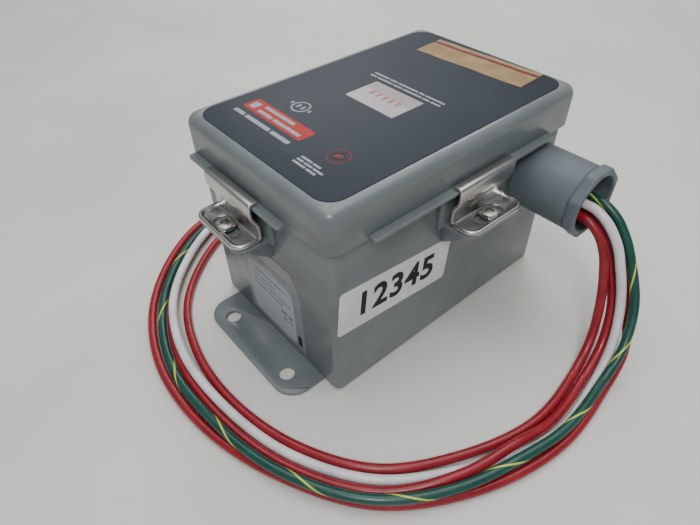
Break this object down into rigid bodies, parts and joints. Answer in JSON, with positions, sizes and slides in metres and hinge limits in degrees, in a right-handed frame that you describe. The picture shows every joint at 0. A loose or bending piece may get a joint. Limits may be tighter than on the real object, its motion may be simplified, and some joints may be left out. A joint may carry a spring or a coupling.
{
  "type": "surge protective device",
  "caption": "Sheet steel box with a hinged clamp cover, mounting feet, a conduit adapter and free colour-coded leads, holding a surge protection circuit",
  "frame": {"origin": "centre of the rectangle of mounting holes, on the plane that the feet rest on", "axes": "+X to the conduit adapter, away from the hinge; +Y along the box to its far end; +Z out through the lid"},
  "size_m": [0.2656, 0.2703, 0.1123],
  "materials": {
    "gray_paint": "light gray powder coat, slightly glossy",
    "clamp_steel": "bright stamped steel",
    "plated_steel": "zinc plated steel",
    "lid_gasket": "closed-cell foam",
    "front_label": "dark blue printed film",
    "display_window": "frosted clear plastic",
    "status_lens": "dark red lens",
    "tape_sticker": "tan paper tape",
    "rating_label": "silver-gray label film",
    "inventory_sticker": "white paper sticker",
    "conduit_adapter": "gray rigid plastic",
    "circuit_board": "green solder mask",
    "varistors": "blue epoxy coating",
    "fuses": "ceramic tube with plated caps",
    "spring_brass": "bright",
    "terminal_block": "black moulded nylon",
    "display_lamp": "white diffuser",
    "status_led": "red clear plastic",
    "link_cable": "gray flat cable",
    "tinned_brass": "tinned",
    "inner_leads": "PVC wire insulation",
    "lead_red": "red PVC wire insulation",
    "lead_white": "white PVC wire insulation",
    "lead_green": "green PVC wire insulation with a yellow stripe",
    "lead_copper": "bare stranded copper"
  },
  "bodies": {
    "box": {"enclosure_body": "gray_paint", "foot_near": "gray_paint", "foot_far": "gray_paint", "bracket_side": "gray_paint", "bracket_near": "gray_paint", "bracket_far": "gray_paint", "hinge_leaf_body": "gray_paint", "hinge_pin": "plated_steel", "rating_label": "rating_label", "inventory_sticker": "inventory_sticker", "conduit_adapter": "conduit_adapter", "conduit_locknut": "plated_steel", "power_board": "circuit_board", "board_standoffs": "plated_steel", "board_screws": "plated_steel", "varistors": "varistors", "fuses": "fuses", "fuse_clips": "spring_brass", "terminal_block": "terminal_block", "terminal_screws": "plated_steel", "indicator_standoffs": "plated_steel", "indicator_board": "circuit_board", "indicator_screws": "plated_steel", "display_lamp": "display_lamp", "status_led": "status_led", "link_cable": "link_cable", "ground_stud": "plated_steel", "ground_nut": "plated_steel", "ring_terminal": "tinned_brass", "inner_leads": "inner_leads", "lead_red_a": "lead_red", "lead_white": "lead_white", "lead_red_b": "lead_red", "lead_green": "lead_green", "lead_red_c": "lead_red", "lead_copper": "lead_copper"},
    "lid": {"lid": "gray_paint", "lid_gasket": "lid_gasket", "hinge_leaf_lid": "gray_paint", "front_label": "front_label", "display_window": "display_window", "status_lens": "status_lens", "tape_sticker": "tape_sticker"},
    "clamp_side": {"clamp_side": "clamp_steel"},
    "clamp_near": {"clamp_near": "clamp_steel"},
    "clamp_far": {"clamp_far": "clamp_steel"},
    "screw_side": {"screw_side": "plated_steel"},
    "screw_near": {"screw_near": "plated_steel"},
    "screw_far": {"screw_far": "plated_steel"}
  },
  "joints": [
    {"name": "lid_hinge", "type": "hinge", "parent": "box", "child": "lid", "pos_m": [-0.0541, 0, 0.0882], "axis": [0, -1, 0], "range_deg": [0, 170]},
    {"name": "clamp_side_tip", "type": "hinge", "parent": "box", "child": "clamp_side", "pos_m": [0.0684, 0.007, 0.0737], "axis": [0, 1, 0], "range_deg": [0, 12]},
    {"name": "clamp_near_tip", "type": "hinge", "parent": "box", "child": "clamp_near", "pos_m": [-0.0105, -0.0938, 0.0737], "axis": [1, 0, 0], "range_deg": [0, 12]},
    {"name": "clamp_far_tip", "type": "hinge", "parent": "box", "child": "clamp_far", "pos_m": [-0.0105, 0.0938, 0.0737], "axis": [-1, 0, 0], "range_deg": [0, 12]},
    {"name": "screw_side_rise", "type": "slide", "parent": "box", "child": "screw_side", "axis": [0, 0, 1], "range_m": [0, 0.0029]},
    {"name": "screw_near_rise", "type": "slide", "parent": "box", "child": "screw_near", "axis": [0, 0, 1], "range_m": [0, 0.0029]},
    {"name": "screw_far_rise", "type": "slide", "parent": "box", "child": "screw_far", "axis": [0, 0, 1], "range_m": [0, 0.0029]}
  ],
  "couplings": [
    {"joint": "screw_side_rise", "follows": "clamp_side_tip", "m_per_rad": 0.01337},
    {"joint": "screw_near_rise", "follows": "clamp_near_tip", "m_per_rad": 0.01337},
    {"joint": "screw_far_rise", "follows": "clamp_far_tip", "m_per_rad": 0.01337}
  ]
}
